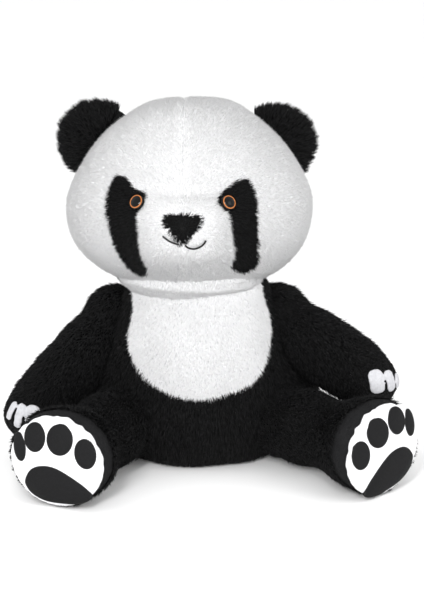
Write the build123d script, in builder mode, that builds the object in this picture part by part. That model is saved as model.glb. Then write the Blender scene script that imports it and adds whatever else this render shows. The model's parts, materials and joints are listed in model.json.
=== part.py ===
"""Seated plush panda: sewn plush panels round loose stuffing, with plastic safety eyes.

Millimetres. +Z up, the panda faces -Y, and the origin is the middle of its flat seat on the floor.
"""

import os
from math import cos, exp, pi, radians, sin, sqrt

from build123d import *

os.makedirs("parts", exist_ok=True)

# ---------------------------------------------------------------- driving dimensions
WALL = 3.0  # plush fabric with its pile pressed flat
SMOOTH_WALL = 1.0  # felt and velour appliques
JOINT_GAP = 0.5  # between a limb's rounded end and the hollow that it sits in
PLANE_SIZE = 600.0  # side of the blocks that cut a body into its sewn panels

# Torso: oval sections as (height, half width, half depth, middle of the depth)
TORSO_SECTIONS = [
    (0.0, 88.0, 76.0, -6.0),
    (22.0, 119.0, 98.0, -8.0),
    (60.0, 131.0, 106.0, -9.0),
    (105.0, 124.0, 103.0, -8.0),
    (150.0, 108.0, 92.0, -6.0),
    (182.0, 90.0, 80.0, -4.0),
    (202.0, 74.0, 68.0, -4.0),
]
BIB_OUTLINE = [(-71, 206), (-70, 194), (-75, 174), (-80, 154), (-76, 132), (-62, 113), (-34, 98), (0, 91), (36, 96),
               (66, 108), (79, 128), (84, 150), (81, 174), (71, 192), (66, 206)]

# Neck: a ball of stuffing that the head turns with and nods on
NECK = Vector(-4, -5, 226)
NECK_RADIUS = 60.0

# Head: oval sections as (height, half width, half depth), with a muzzle pushed out of the front
HEAD_X, HEAD_Y = -9.5, -12.0
FACE_X = -16.0  # the face is turned a little to the panda's right
HEAD_SECTIONS = [
    (212.0, 64.0, 54.0),
    (218.0, 88.0, 70.0),
    (229.0, 109.0, 84.0),
    (246.0, 127.0, 96.0),
    (266.0, 138.0, 103.5),
    (286.0, 142.5, 107.0),
    (306.0, 142.5, 108.0),
    (330.0, 135.0, 103.0),
    (352.0, 122.0, 95.0),
    (374.0, 105.5, 83.0),
    (394.0, 85.0, 68.0),
    (410.0, 61.0, 49.0),
    (419.0, 32.0, 26.0),
]
SECTION_POINTS = 32
MUZZLE_HEIGHT, MUZZLE_SPREAD = 285.0, 42.0  # where the muzzle is, and how far it reaches up and down
MUZZLE_BULGE, MUZZLE_HALF_WIDTH = 27.0, 54.0
SIDE_SEAM_Y = 22.0  # the seam over the crown, from ear to ear
MUZZLE_OUTLINE = [(-44, 200), (-53, 248), (-53, 317), (-20, 329), (20, 329), (53, 317), (62, 262), (62, 250),
                  (48, 200)]
EYE_PATCHES = {
    "right": [(-68, 346), (-59, 343), (-49, 333), (-37, 328), (-44, 319), (-48, 303), (-47, 282), (-45, 260),
              (-40, 241), (-44, 232), (-53, 234), (-66, 248), (-75, 267), (-82, 295), (-84, 315), (-79, 334)],
    "left": [(72, 341), (79, 325), (81, 300), (83, 274), (84, 256), (82, 242), (74, 236), (62, 237), (53, 245),
             (56, 257), (54, 278), (50, 304), (44, 315), (36, 321), (45, 334), (57, 341)],
}
NOSE_OUTLINE = [(-21, 303), (-18, 310), (18, 310), (21, 303), (3, 280), (-3, 280)]
MOUTH_CURVES = [[(-22, 288), (-15, 283), (-4, 279)], [(3, 278), (10, 274), (18, 275), (26, 283)]]
THREAD_RADIUS = 1.0

# Safety eye: a domed button on a ribbed stem, held by a washer inside the head
EYE_AT = (50.0, 320.0)
EYE_RADIUS, EYE_HEIGHT = 9.0, 6.0
IRIS_RADIUS, IRIS_WIRE = 7.2, 0.7
STEM_RADIUS, STEM_LENGTH = 2.2, 18.0
WASHER_RADIUS, WASHER_THICKNESS = 10.0, 1.5

# Ear: a flat oval pillow sewn into a slit along the side of the crown
EAR_MIDDLE = {"right": (-113.0, 16.0, 367.0), "left": (87.0, 16.0, 362.0)}
EAR_SEAM_TILT = 56.0  # slope of the slit, in degrees
EAR_HALF_LENGTH, EAR_HEIGHT, EAR_HALF_THICKNESS = 47.0, 52.0, 12.5
EAR_ROOT = 11.0  # how far the ear reaches into its slit
EAR_HOLLOW = 21.9  # radius of the slit's rounded hollow, which the ear folds in

# Arm: a stuffed sausage from a rounded end in the shoulder to the hand
SHOULDER = (95.0, -2.0, 158.0)
ARM_RADIUS = 40.0
ARM_REACH = {"right": 156.0, "left": 141.0}  # to the hand's middle; the left arm is bent, so it reaches less far
HAND_LENGTH = 35.0  # from the hand's middle to its tip
ARM_RAISE = 25.0  # degrees from rest
# Arm sections as (radius, share of the reach)
ARM_PROFILE = [(37.5, 0.28), (39.0, 0.50), (37.5, 0.76), (35.0, 1.0), (25.5, 1.17)]
ARM_DIRECTION = {"right": (-99, -70, -99), "left": (105, -73, -56.5)}
# Each claw: how far round the hand it is from the front, its place above the hand's middle, width, height, lean
CLAWS = {
    "right": [(-4.0, 7.0, 17.0, 24.0, -8.0), (24.0, 6.0, 10.0, 28.0, -8.0), (46.0, 10.0, 9.0, 21.0, -10.0)],
    "left": [(11.0, 7.0, 18.0, 27.0, 8.0), (43.0, 6.0, 13.0, 25.0, 8.0), (70.0, 3.0, 12.0, 18.0, 8.0)],
}

# Leg: a stuffed tube from a rounded end in the hip to the flat sole
HIP = {"right": (-88.0, -74.0, 50.0), "left": (98.0, -62.0, 50.0)}
LEG_RADIUS = 46.0
LEG_LENGTH = 168.0
LEG_RISE = 1.0
LEG_CLOSE = 15.0  # degrees from rest towards the other leg
LEG_SPLAY = {"right": -23.0, "left": 41.0}
FOOT_ROLL = {"right": 0.0, "left": 17.0}
# Leg sections as (distance from the hip, half width, half height, middle above the leg's line)
FOOT_SECTIONS = [
    (24.0, 39.0, 39.0, 0.0),
    (60.0, 43.0, 42.0, 0.0),
    (108.0, 47.0, 45.0, 0.5),
    (139.0, 60.5, 53.0, 2.5),
    (156.0, 61.5, 53.5, 2.5),
]
SOLE_HALF = (57.0, 52.0)
SOLE_SEAM = 143.0  # where the furry leg ends and the smooth sole cover begins
# Each toe pad on the right foot: middle, half width, half height and lean
TOE_PADS = [
    (-43.5, 12.0, 7.2, 15.6, 7.0),
    (-24.0, 25.5, 12.6, 16.2, -8.0),
    (7.0, 26.5, 15.0, 17.0, -14.0),
    (37.5, 14.0, 11.8, 16.2, 6.0),
]
HEEL_OUTLINE = [(-36, -25), (-30, -14), (-20, -8), (-6, -6), (8, -9), (26, -18), (38, -26), (44, -33), (40, -39),
                (28, -44), (15, -46), (-10, -46), (-27, -40), (-35, -32)]
PAD_THICKNESS = 2.0


def write(piece, name):
    """Labels a finished piece and writes it as one STEP file."""
    piece.part.label = name
    export_step(piece.part, f"parts/{name}.step")


def ball(centre, radius):
    """A ball that doesn't join the block it is made in."""
    return Pos(*centre) * Sphere(radius, mode=Mode.PRIVATE)


def side_sign(side):
    """The panda's own right side is at -X, because it faces -Y."""
    return -1 if side == "right" else 1


# ---------------------------------------------------------------- closed forms
def torso_form(wall):
    last = len(TORSO_SECTIONS) - 1
    with BuildPart() as form:
        for i, (height, half_width, half_depth, middle) in enumerate(TORSO_SECTIONS):
            level = height + (wall if i == 0 else 0) - (wall if i == last else 0)
            with BuildSketch(Plane.XY.offset(level)):
                with Locations((0, middle)):
                    Ellipse(half_width - wall, half_depth - wall)
        loft()
    return form.part


def head_section(height, half_width, half_depth, wall):
    """Points round one level of the head, with the muzzle's share of that level."""
    bulge = MUZZLE_BULGE * exp(-(((height - MUZZLE_HEIGHT) / MUZZLE_SPREAD) ** 4))
    points = []
    for i in range(SECTION_POINTS):
        turn = 2 * pi * i / SECTION_POINTS
        x = (half_width - wall) * cos(turn)
        y = (half_depth - wall) * sin(turn)
        if y < 0:
            y -= bulge * exp(-(((HEAD_X + x - FACE_X) / MUZZLE_HALF_WIDTH) ** 4))
        points.append((HEAD_X + x, HEAD_Y + y))
    return points


def head_form(wall):
    last = len(HEAD_SECTIONS) - 1
    with BuildPart() as form:
        for i, (height, half_width, half_depth) in enumerate(HEAD_SECTIONS):
            level = height + (wall if i == 0 else 0) - (wall if i == last else 0)
            with BuildSketch(Plane.XY.offset(level)):
                with BuildLine():
                    Spline(*head_section(height, half_width, half_depth, wall), periodic=True)
                make_face()
        loft()
    return form.part


def ear_plane(side):
    """Middle of the ear's slit: local X along the slit, Y from the ear's back to its front, Z out of the head."""
    sign = side_sign(side)
    slope = radians(EAR_SEAM_TILT)
    out = Vector(sign * sin(slope), 0, cos(slope))
    return Plane(
        origin=EAR_MIDDLE[side],
        x_dir=(sign * cos(slope), 0, -sin(slope)),
        z_dir=tuple(out),
    )


def ear_form(side, grow):
    """The ear's pillow, grown by an amount all round."""
    with BuildPart(mode=Mode.PRIVATE) as pillow:
        Sphere(1)
        scale(by=(EAR_HALF_LENGTH + grow, EAR_HALF_THICKNESS + grow, EAR_HEIGHT + grow))
        floor = Plane.XY.offset(-EAR_ROOT - grow)
        split(bisect_by=floor, keep=Keep.TOP)
    return ear_plane(side).location * pillow.part


def arm_plane(side):
    sign = side_sign(side)
    direction = Vector(*ARM_DIRECTION[side]).normalized()
    shoulder = (sign * SHOULDER[0], SHOULDER[1], SHOULDER[2])
    return Plane(origin=shoulder, x_dir=(1, 0, direction.X / -direction.Z), z_dir=tuple(direction))


def arm_form(side, wall):
    """The arm is round: its rounded end, a waist where it is sewn on, and a domed hand."""
    ball_radius = ARM_RADIUS - wall
    reach = ARM_REACH[side]
    tip = reach + HAND_LENGTH - wall
    waist_at = 18.0
    waist = sqrt(ball_radius**2 - waist_at**2)
    # the sketch faces the arm's back, so that the surface starts and ends away from the claws
    back = Plane(origin=(0, 0, 0), x_dir=(0, -1, 0), z_dir=(-1, 0, 0))
    with BuildPart(mode=Mode.PRIVATE) as arm:
        with BuildSketch(back):
            with BuildLine():
                Line((0, tip), (0, -ball_radius))
                ThreePointArc((0, -ball_radius), (ball_radius, 0), (waist, waist_at))
                Spline(
                    (waist, waist_at),
                    *[(radius - wall, share * reach) for radius, share in ARM_PROFILE],
                    (0, tip),
                    tangents=[(-0.25, 1), (-1, 0)],
                )
            make_face()
        revolve(axis=Axis.Z)
    return arm_plane(side).location * arm.part


def leg_plane(side):
    """The hip's middle: local Z along the leg to the sole, and local Y up."""
    splay, rise = radians(LEG_SPLAY[side]), radians(LEG_RISE)
    along = Vector(sin(splay) * cos(rise), -cos(splay) * cos(rise), sin(rise))
    return Plane(origin=HIP[side], x_dir=(cos(splay), sin(splay), 0), z_dir=tuple(along))


def leg_form(side, wall):
    """A rounded end in the hip, a waist where it is sewn on, and a foot that widens to the sole."""
    with BuildPart(mode=Mode.PRIVATE) as leg:
        for along, half_width, half_height, middle in FOOT_SECTIONS:
            with BuildSketch(Plane.XY.offset(along)):
                with Locations((0, middle)):
                    Ellipse(half_width - wall, half_height - wall)
        with BuildSketch(Plane.XY.offset(LEG_LENGTH - wall)):
            Ellipse(SOLE_HALF[0] - wall, SOLE_HALF[1] - wall)
        loft()
        Sphere(LEG_RADIUS - wall)
    return leg_plane(side).location * leg.part


# ---------------------------------------------------------------- torso
def limb_room(frame, hinge, ball_radius, tube_radius, reach, swings):
    """The hollow for a limb's rounded end, and the room beside the torso that the limb swings in."""
    rooms = [ball(frame.origin, ball_radius)]
    for swing in swings:
        tube = Cylinder(tube_radius, reach, align=(Align.CENTER, Align.CENTER, Align.MIN), mode=Mode.PRIVATE)
        rooms.append((frame.location * tube).rotate(hinge, swing))
    return rooms


def arm_hinge(side):
    """Level axis across the arm, so that the arm rises in its own upright plane."""
    direction = Vector(*ARM_DIRECTION[side])
    return Axis(arm_plane(side).origin, (direction.Y, -direction.X, 0))


def leg_hinge(side):
    """Upright axis through the hip, turned so that a positive angle closes the legs."""
    return Axis(HIP[side], (0, 0, -side_sign(side)))


limb_sockets = [ball(NECK, NECK_RADIUS + JOINT_GAP)]
for side in ("left", "right"):
    arm_ball, leg_ball = ARM_RADIUS + JOINT_GAP, LEG_RADIUS + JOINT_GAP
    limb_sockets += limb_room(arm_plane(side), arm_hinge(side), arm_ball, arm_ball - 0.9, ARM_REACH[side], (0.0,))
    limb_sockets += limb_room(leg_plane(side), leg_hinge(side), leg_ball, leg_ball - 1.5, 65.0, (0.0, LEG_CLOSE))

with BuildPart() as torso_stuffing:
    add(torso_form(WALL))
    add(limb_sockets, mode=Mode.SUBTRACT)

with BuildPart() as torso_shell:
    add(torso_form(0))
    add(torso_form(WALL), mode=Mode.SUBTRACT)
    add(limb_sockets, mode=Mode.SUBTRACT)

with BuildPart() as bib_prism:
    with BuildSketch(Plane.XZ):
        with BuildLine():
            Spline(*BIB_OUTLINE)
            Line(BIB_OUTLINE[-1], BIB_OUTLINE[0])
        make_face()
    extrude(amount=PLANE_SIZE / 2)

with BuildPart() as belly_bib:
    add(torso_shell.part)
    add(bib_prism.part, mode=Mode.INTERSECT)
write(belly_bib, "belly_bib")

with BuildPart() as seat_panel:
    add(torso_shell.part)
    split(bisect_by=Plane.XY.offset(WALL), keep=Keep.BOTTOM)
write(seat_panel, "seat_panel")

for side in ("left", "right"):
    with BuildPart() as torso_side:
        add(torso_shell.part)
        split(bisect_by=Plane.XY.offset(WALL), keep=Keep.TOP)
        add(bib_prism.part, mode=Mode.SUBTRACT)
        split(bisect_by=Plane.YZ, keep=Keep.TOP if side == "left" else Keep.BOTTOM)
    write(torso_side, f"torso_{side}_panel")

write(torso_stuffing, "torso_stuffing")

with BuildPart() as neck_stuffing:
    with Locations(NECK):
        Sphere(NECK_RADIUS)
write(neck_stuffing, "neck_stuffing")

# ---------------------------------------------------------------- arms
for side in ("left", "right"):
    sign = side_sign(side)
    frame = arm_plane(side)
    hand = frame.origin + frame.z_dir * ARM_REACH[side]

    with BuildPart() as arm_stuffing:
        add(arm_form(side, WALL))
    write(arm_stuffing, f"arm_{side}_stuffing")

    with BuildPart() as arm_shell:
        add(arm_form(side, 0))
        add(arm_stuffing.part, mode=Mode.SUBTRACT)

    with BuildPart() as claw_prisms:
        for turn, up, width, height, lean in CLAWS[side]:
            outward = (sign * sin(radians(turn)), -cos(radians(turn)), 0)
            level = (cos(radians(turn)), sign * sin(radians(turn)), 0)
            with BuildSketch(Plane(origin=(hand.X, hand.Y, hand.Z + up), x_dir=level, z_dir=outward)):
                RectangleRounded(width, height, width / 2.6, rotation=lean)
            extrude(amount=PLANE_SIZE / 8)

    with BuildPart() as claws:
        add(arm_shell.part)
        add(claw_prisms.part, mode=Mode.INTERSECT)
    write(claws, f"claws_{side}")

    seam = Plane(origin=frame.origin, x_dir=tuple(frame.z_dir), z_dir=tuple(frame.y_dir))
    for face, keep in (("outer", Keep.TOP), ("inner", Keep.BOTTOM)):
        with BuildPart() as arm_panel:
            add(arm_shell.part)
            add(claw_prisms.part, mode=Mode.SUBTRACT)
            split(bisect_by=seam, keep=keep)
        write(arm_panel, f"arm_{side}_{face}_panel")

# ---------------------------------------------------------------- legs
for side in ("left", "right"):
    frame = leg_plane(side)
    sole = Plane(origin=frame.origin + frame.z_dir * LEG_LENGTH, x_dir=tuple(frame.x_dir), z_dir=tuple(frame.z_dir))
    paw = Plane(sole.location * Rotation(0, 0, FOOT_ROLL[side]))
    cover_at = frame.origin + frame.z_dir * SOLE_SEAM
    seam_plane = Plane(origin=cover_at, x_dir=tuple(frame.x_dir), z_dir=tuple(frame.z_dir))

    with BuildPart() as leg_stuffing:
        add(leg_form(side, WALL))
    write(leg_stuffing, f"leg_{side}_stuffing")

    with BuildPart() as leg_shell:
        add(leg_form(side, 0))
        add(leg_stuffing.part, mode=Mode.SUBTRACT)

    with BuildPart() as sole_cover:
        add(leg_shell.part)
        split(bisect_by=seam_plane, keep=Keep.TOP)
    write(sole_cover, f"foot_{side}_sole_cover")

    level = Plane(origin=frame.origin, x_dir=tuple(frame.x_dir), z_dir=tuple(frame.y_dir))
    for face, keep in (("upper", Keep.TOP), ("under", Keep.BOTTOM)):
        with BuildPart() as leg_panel:
            add(leg_shell.part)
            split(bisect_by=seam_plane, keep=Keep.BOTTOM)
            split(bisect_by=level, keep=keep)
        write(leg_panel, f"leg_{side}_{face}_panel")

    with BuildPart() as paw_patch:
        with BuildSketch(paw):
            Ellipse(SOLE_HALF[0] - 1, SOLE_HALF[1] - 2)
        extrude(amount=SMOOTH_WALL)
    write(paw_patch, f"foot_{side}_paw_patch")

    # the left foot is the right foot's mirror image
    mirror_x = -side_sign(side)
    pad_plane = paw.offset(SMOOTH_WALL)
    with BuildPart() as toe_pads:
        with BuildSketch(pad_plane):
            for x, y, half_width, half_height, lean in TOE_PADS:
                with Locations((mirror_x * x, y)):
                    Ellipse(half_width, half_height, rotation=mirror_x * lean)
        extrude(amount=PAD_THICKNESS)
    write(toe_pads, f"foot_{side}_toe_pads")

    with BuildPart() as heel_pad:
        with BuildSketch(pad_plane):
            with BuildLine():
                Spline(*[(mirror_x * x, y) for x, y in HEEL_OUTLINE], periodic=True)
            make_face()
        extrude(amount=PAD_THICKNESS)
    write(heel_pad, f"foot_{side}_heel_pad")

# ---------------------------------------------------------------- head
ear_slits = []
for side in ("left", "right"):
    slit = Cylinder(EAR_HOLLOW, 2 * EAR_HALF_LENGTH + 4, rotation=(0, 90, 0), mode=Mode.PRIVATE)
    ear_slits.append(ear_plane(side).location * slit)

neck_socket = ball(NECK, NECK_RADIUS + JOINT_GAP)

head_surface = head_form(0)

with BuildPart() as head_shell:
    add(head_surface)
    add(head_form(WALL), mode=Mode.SUBTRACT)
    add(neck_socket, mode=Mode.SUBTRACT)
    add(ear_slits, mode=Mode.SUBTRACT)


def front_prism(points, smooth=True):
    """A block behind a closed outline drawn on the face, from the head's middle forwards."""
    with BuildPart(mode=Mode.PRIVATE) as prism:
        with BuildSketch(Plane.XZ):
            with BuildLine():
                if smooth:
                    Spline(*points, periodic=True)
                else:
                    Polyline(*points, close=True)
            make_face()
        extrude(amount=PLANE_SIZE / 2)
    return Pos(FACE_X, 0, 0) * prism.part


eye_patches = {side: front_prism(outline) for side, outline in EYE_PATCHES.items()}
nose_prism = front_prism(NOSE_OUTLINE, smooth=False)
muzzle_prism = front_prism(MUZZLE_OUTLINE, smooth=False)


def eye_plane(side):
    """The eye's seat, just off the fabric: local Z points out of the head."""
    sign = side_sign(side)
    x = FACE_X + sign * EYE_AT[0]
    probe = Axis((x, -PLANE_SIZE / 2, EYE_AT[1]), (0, 1, 0))
    hits = head_surface.find_intersection_points(probe)
    point, normal = min(hits, key=lambda hit: hit[0].Y)
    outward = normal if normal.Y < 0 else -normal
    return Plane(origin=point + outward * 1.0, x_dir=(1, 0, 0), z_dir=tuple(outward))


eye_planes = {side: eye_plane(side) for side in ("left", "right")}
stem_holes = []
for side, seat in eye_planes.items():
    stem_hole = Cylinder(STEM_RADIUS + 0.1, 2 * STEM_LENGTH, mode=Mode.PRIVATE)
    washer_hole = Pos(0, 0, -STEM_LENGTH / 2) * Cylinder(WASHER_RADIUS + 0.3, STEM_LENGTH - 8.0, mode=Mode.PRIVATE)
    stem_holes.append((seat.location * stem_hole, seat.location * washer_hole))

with BuildPart() as head_stuffing:
    add(head_form(WALL))
    add(neck_socket, mode=Mode.SUBTRACT)
    add(ear_slits, mode=Mode.SUBTRACT)
    for stem_hole, washer_hole in stem_holes:
        add(stem_hole, mode=Mode.SUBTRACT)
        add(washer_hole, mode=Mode.SUBTRACT)
write(head_stuffing, "head_stuffing")

for side, prism in eye_patches.items():
    with BuildPart() as eye_patch:
        add(head_shell.part)
        add(prism, mode=Mode.INTERSECT)
        for stem_hole, _ in stem_holes:
            add(stem_hole, mode=Mode.SUBTRACT)
    write(eye_patch, f"eye_patch_{side}")

with BuildPart() as nose:
    add(head_shell.part)
    add(nose_prism, mode=Mode.INTERSECT)
write(nose, "nose")

with BuildPart() as muzzle_panel:
    add(head_shell.part)
    add(muzzle_prism, mode=Mode.INTERSECT)
    add([nose_prism, *eye_patches.values()], mode=Mode.SUBTRACT)
write(muzzle_panel, "muzzle_panel")

crown_seam = Plane(origin=(0, SIDE_SEAM_Y, 0), x_dir=(1, 0, 0), z_dir=(0, 1, 0))
middle_seam = Plane(origin=(FACE_X, 0, 0), x_dir=(0, 1, 0), z_dir=(1, 0, 0))
for side in ("left", "right"):
    own_side = Keep.TOP if side == "left" else Keep.BOTTOM
    with BuildPart() as face_panel:
        add(head_shell.part)
        split(bisect_by=crown_seam, keep=Keep.BOTTOM)
        split(bisect_by=middle_seam, keep=own_side)
        add([muzzle_prism, nose_prism, *eye_patches.values()], mode=Mode.SUBTRACT)
    write(face_panel, f"face_{side}_panel")

    with BuildPart() as back_panel:
        add(head_shell.part)
        split(bisect_by=crown_seam, keep=Keep.TOP)
        split(bisect_by=middle_seam, keep=own_side)
    write(back_panel, f"head_back_{side}_panel")

# ---------------------------------------------------------------- eyes
for side, seat in eye_planes.items():
    with BuildPart(mode=Mode.PRIVATE) as iris_local:
        with BuildSketch(Plane.XZ):
            dome_height = EYE_HEIGHT * sqrt(1 - (IRIS_RADIUS / EYE_RADIUS) ** 2)
            with Locations((IRIS_RADIUS, dome_height)):
                Circle(IRIS_WIRE)
        revolve(axis=Axis.Z)

    with BuildPart(mode=Mode.PRIVATE) as eye_local:
        Sphere(1)
        scale(by=(EYE_RADIUS, EYE_RADIUS, EYE_HEIGHT))
        split(bisect_by=Plane.XY, keep=Keep.TOP)
        Cylinder(STEM_RADIUS, STEM_LENGTH, align=(Align.CENTER, Align.CENTER, Align.MAX))
        add(iris_local.part, mode=Mode.SUBTRACT)

    with BuildPart(mode=Mode.PRIVATE) as washer_local:
        with Locations((0, 0, -WALL - 3.0)):
            Cylinder(WASHER_RADIUS, WASHER_THICKNESS, align=(Align.CENTER, Align.CENTER, Align.MAX))
            Cylinder(STEM_RADIUS, WASHER_THICKNESS * 3, mode=Mode.SUBTRACT)

    with BuildPart() as eye:
        add(seat.location * eye_local.part)
    write(eye, f"eye_{side}")

    with BuildPart() as iris:
        add(seat.location * iris_local.part)
    write(iris, f"eye_{side}_iris_ring")

    with BuildPart() as washer:
        add(seat.location * washer_local.part)
    write(washer, f"eye_{side}_washer")

# ---------------------------------------------------------------- mouth
with BuildPart() as mouth:
    for curve in MOUTH_CURVES:
        points = []
        for x, z in curve:
            probe = Axis((FACE_X + x, -PLANE_SIZE / 2, z), (0, 1, 0))
            hits = head_surface.find_intersection_points(probe)
            point, _ = min(hits, key=lambda hit: hit[0].Y)
            points.append(point - Vector(0, THREAD_RADIUS + 1.0, 0))
        with BuildLine() as thread:
            Spline(*points)
        with BuildSketch(Plane(origin=thread.line @ 0, z_dir=thread.line % 0)):
            Circle(THREAD_RADIUS)
        sweep(path=thread.line)
write(mouth, "mouth_stitching")

# ---------------------------------------------------------------- ears
for side in ("left", "right"):
    with BuildPart() as ear_stuffing:
        add(ear_form(side, -WALL))
    write(ear_stuffing, f"ear_{side}_stuffing")

    seam = ear_plane(side)
    middle = Plane(origin=seam.origin, x_dir=tuple(seam.x_dir), z_dir=(0, -1, 0))
    for face, keep in (("front", Keep.TOP), ("back", Keep.BOTTOM)):
        with BuildPart() as ear_panel:
            add(ear_form(side, 0))
            add(ear_stuffing.part, mode=Mode.SUBTRACT)
            split(bisect_by=middle, keep=keep)
        write(ear_panel, f"ear_{side}_{face}_panel")
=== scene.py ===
"""Plush panda: skins wrapped round the CAD bodies, covered in modelled fur, with padded paw soles."""

import json
import math

import bmesh
import bpy
import numpy as np
from mathutils import Matrix, Vector
from mathutils.bvhtree import BVHTree
from mathutils.kdtree import KDTree


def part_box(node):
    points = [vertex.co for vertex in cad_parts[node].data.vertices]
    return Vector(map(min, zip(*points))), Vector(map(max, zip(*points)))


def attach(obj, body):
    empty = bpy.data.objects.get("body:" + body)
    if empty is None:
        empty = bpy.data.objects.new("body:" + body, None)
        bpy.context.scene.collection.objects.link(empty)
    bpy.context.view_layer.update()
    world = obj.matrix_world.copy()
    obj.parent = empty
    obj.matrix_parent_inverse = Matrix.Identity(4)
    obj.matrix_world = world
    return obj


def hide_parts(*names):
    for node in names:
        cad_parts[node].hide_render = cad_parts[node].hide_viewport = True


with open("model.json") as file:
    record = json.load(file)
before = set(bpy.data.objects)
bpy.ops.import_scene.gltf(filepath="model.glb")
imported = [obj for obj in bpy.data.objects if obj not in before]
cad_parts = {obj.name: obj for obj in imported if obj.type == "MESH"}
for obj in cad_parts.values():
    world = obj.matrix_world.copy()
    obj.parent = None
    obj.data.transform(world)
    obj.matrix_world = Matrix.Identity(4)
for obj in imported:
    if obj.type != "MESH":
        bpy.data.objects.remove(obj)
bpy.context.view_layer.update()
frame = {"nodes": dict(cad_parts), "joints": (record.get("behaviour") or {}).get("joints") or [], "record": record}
NODES = frame["nodes"]
JOINTS = {joint["child"]: joint for joint in frame["joints"]}
BODIES = frame["record"]["behaviour"]["bodies"]
MM = 0.001
ON_FLOOR = 0.0003  # pile that reaches the floor lies on it


# ---------------------------------------------------------------- geometry helpers
def mesh_arrays(obj):
    mesh = obj.data
    count = len(mesh.vertices)
    points = np.empty(count * 3)
    mesh.vertices.foreach_get("co", points)
    mesh.calc_loop_triangles()
    triangles = np.empty(len(mesh.loop_triangles) * 3, int)
    mesh.loop_triangles.foreach_get("vertices", triangles)
    return points.reshape(-1, 3), triangles.reshape(-1, 3)


def joined(names):
    """Points and triangles of several CAD nodes, and which node each triangle is from."""
    points, triangles, owners, start = [], [], [], 0
    for k, name in enumerate(names):
        p, t = mesh_arrays(NODES[name])
        points.append(p)
        triangles.append(t + start)
        owners.append(np.full(len(t), k))
        start += len(p)
    return np.concatenate(points), np.concatenate(triangles), np.concatenate(owners)


class Panels:
    """Finds which CAD panel a place on the skin belongs to."""

    def __init__(self, names):
        self.names = names
        points, triangles, self.owners = joined(names)
        self.tree = BVHTree.FromPolygons(points.tolist(), triangles.tolist())

    def at(self, places):
        found = np.zeros(len(places), int)
        for i, place in enumerate(places):
            found[i] = self.owners[self.tree.find_nearest(place)[2]]
        return found


def new_mesh(name, points, faces, smooth=True):
    mesh = bpy.data.meshes.new(name)
    mesh.from_pydata([tuple(p) for p in points], [], [tuple(f) for f in faces])
    mesh.polygons.foreach_set("use_smooth", [smooth] * len(mesh.polygons))
    mesh.update()
    obj = bpy.data.objects.new(name, mesh)
    bpy.context.scene.collection.objects.link(obj)
    return obj


def hull_tree(names):
    """The convex hull of several CAD nodes, from about 20,000 of their points."""
    points, _, _ = joined(names)
    bm = bmesh.new()
    for p in points[:: max(1, len(points) // 20000)]:
        bm.verts.new(p)
    bmesh.ops.convex_hull(bm, input=bm.verts)
    tree = BVHTree.FromBMesh(bm)
    bm.free()
    return tree


def icosphere(level):
    bm = bmesh.new()
    bmesh.ops.create_icosphere(bm, subdivisions=level, radius=1.0)
    points = np.array([v.co for v in bm.verts])
    faces = [[v.index for v in f.verts] for f in bm.faces]
    bm.free()
    return points / np.linalg.norm(points, axis=1)[:, None], np.array(faces)


def neighbours(faces, count):
    edges = np.concatenate([faces[:, [0, 1]], faces[:, [1, 2]], faces[:, [2, 0]]])
    edges = np.unique(np.sort(edges, axis=1), axis=0)
    degree = np.bincount(edges.ravel(), minlength=count)
    return edges, degree


def smoothed(values, edges, degree, rounds, mask=None):
    """Values at a mesh's points, each drawn halfway to its neighbours' mean in every round."""
    values = values.copy()
    for _ in range(rounds):
        total = np.zeros_like(values)
        np.add.at(total, edges[:, 0], values[edges[:, 1]])
        np.add.at(total, edges[:, 1], values[edges[:, 0]])
        mean = total / (degree if values.ndim == 1 else degree[:, None])
        step = (mean - values) * 0.5
        if mask is not None:
            step = step * (mask if values.ndim == 1 else mask[:, None])
        values += step
    return values


def cast(tree, origins, directions):
    """Distance along each ray to the first hit within a metre, or nan."""
    out = np.full(len(origins), np.nan)
    for i in range(len(origins)):
        hit = tree.ray_cast(origins[i], directions[i], 1.0)
        if hit[0] is not None:
            out[i] = hit[3]
    return out


FAR = 0.5  # rays towards a body's centre start this far out
SKIN_LEVEL = 6


def wrap(centre, names, hollow):
    """A closed skin round CAD nodes, seen from a centre.

    hollow says which hits are in a joint's hollow: the skin goes straight across those.
    """
    directions, faces = icosphere(SKIN_LEVEL)
    edges, degree = neighbours(faces, len(directions))
    points, triangles, _ = joined(names)
    tree = BVHTree.FromPolygons(points.tolist(), triangles.tolist())
    origins = centre + directions * FAR
    radius = FAR - cast(tree, origins, -directions)
    hull = FAR - cast(hull_tree(names), origins, -directions)
    radius = np.where(np.isnan(radius), hull, radius)
    hits = centre + directions * radius[:, None]
    masked = hollow(hits)
    radius = np.where(masked, hull, radius)
    soft = smoothed(masked.astype(float), edges, degree, 6)
    radius = smoothed(radius, edges, degree, 30, mask=np.clip(soft * 2, 0, 1))
    return centre + directions * radius[:, None], faces, edges, degree


def normals_of(points, faces):
    a, b, c = (points[faces[:, k]] for k in range(3))
    face = np.cross(b - a, c - a)
    out = np.zeros_like(points)
    for k in range(3):
        np.add.at(out, faces[:, k], face)
    return out / np.maximum(np.linalg.norm(out, axis=1), 1e-12)[:, None]


def unit(v):
    v = np.asarray(v, float)
    return v / np.maximum(np.linalg.norm(v, axis=-1, keepdims=True), 1e-12)


def lumps(points, size, seed):
    """Smooth noise from -1 to 1 at places, from a sum of waves."""
    rng = np.random.default_rng(seed)
    total = np.zeros(len(points))
    for _ in range(12):
        wave = unit(rng.normal(size=3)) * (2 * math.pi / size) * rng.uniform(0.7, 1.4)
        total += np.sin(points @ wave + rng.uniform(0, 2 * math.pi))
    return total / 4.0


def bell(distance, width):
    return np.exp(-((distance / width) ** 2))


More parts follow.
